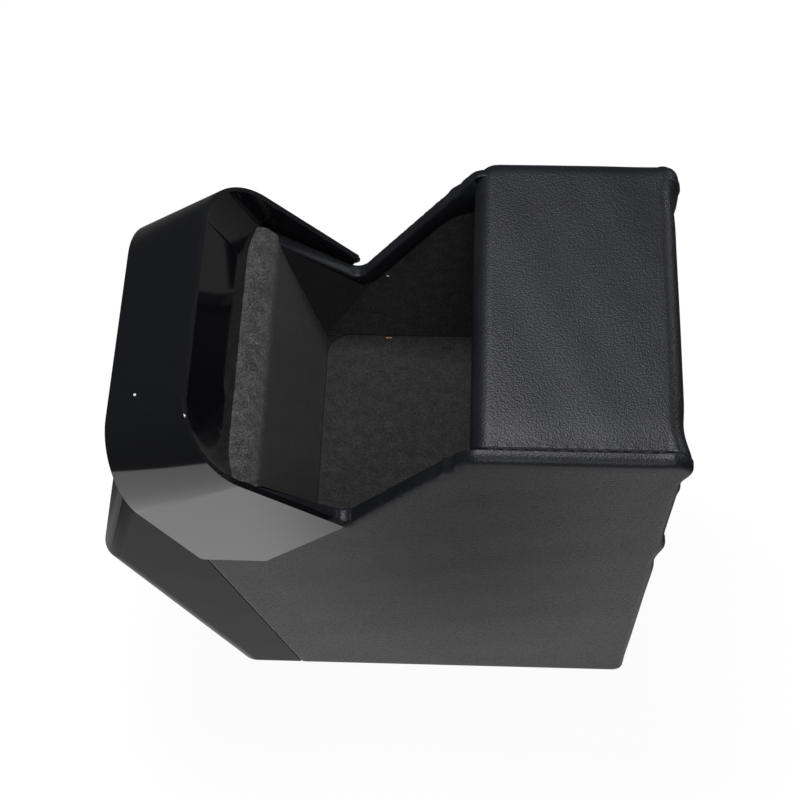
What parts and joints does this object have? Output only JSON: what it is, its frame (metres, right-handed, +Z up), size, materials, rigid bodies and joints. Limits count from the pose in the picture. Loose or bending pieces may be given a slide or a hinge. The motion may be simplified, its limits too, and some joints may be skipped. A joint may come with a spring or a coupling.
{
  "type": "center console storage box",
  "caption": "Padded between-seat storage box with a notched felt-lined bin, a leatherette deck, a gloss hood over the front and a gloss front cover.",
  "frame": {"origin": "centre of the bounding box at the floor the box stands on", "axes": "+Z up, +X towards the rear deck, the hood at -X, the box symmetric about Y = 0"},
  "size_m": [0.3373, 0.2002, 0.3356],
  "materials": {
    "leatherette": "black fine-pebbled leatherette",
    "felt": "dark grey needled felt",
    "gloss_black": "polished black moulding",
    "plywood": "raw plywood",
    "foam": "grey foam",
    "steel": "bright brad nails"
  },
  "bodies": {
    "root": {"side_cover_left": "leatherette", "side_cover_right": "leatherette", "deck_cover": "leatherette", "rear_cover": "leatherette", "side_felt_left": "felt", "side_felt_right": "felt", "front_felt": "felt", "rear_felt": "felt", "floor_mat": "felt", "hood": "gloss_black", "front_cover": "gloss_black", "side_panel_left": "plywood", "side_panel_right": "plywood", "rear_panel": "plywood", "base_panel": "plywood", "front_panel": "plywood", "bin_floor_panel": "plywood", "bin_front_panel": "plywood", "deck_panel": "plywood", "deck_pad": "foam", "panel_nails": "steel"}
  },
  "joints": []
}
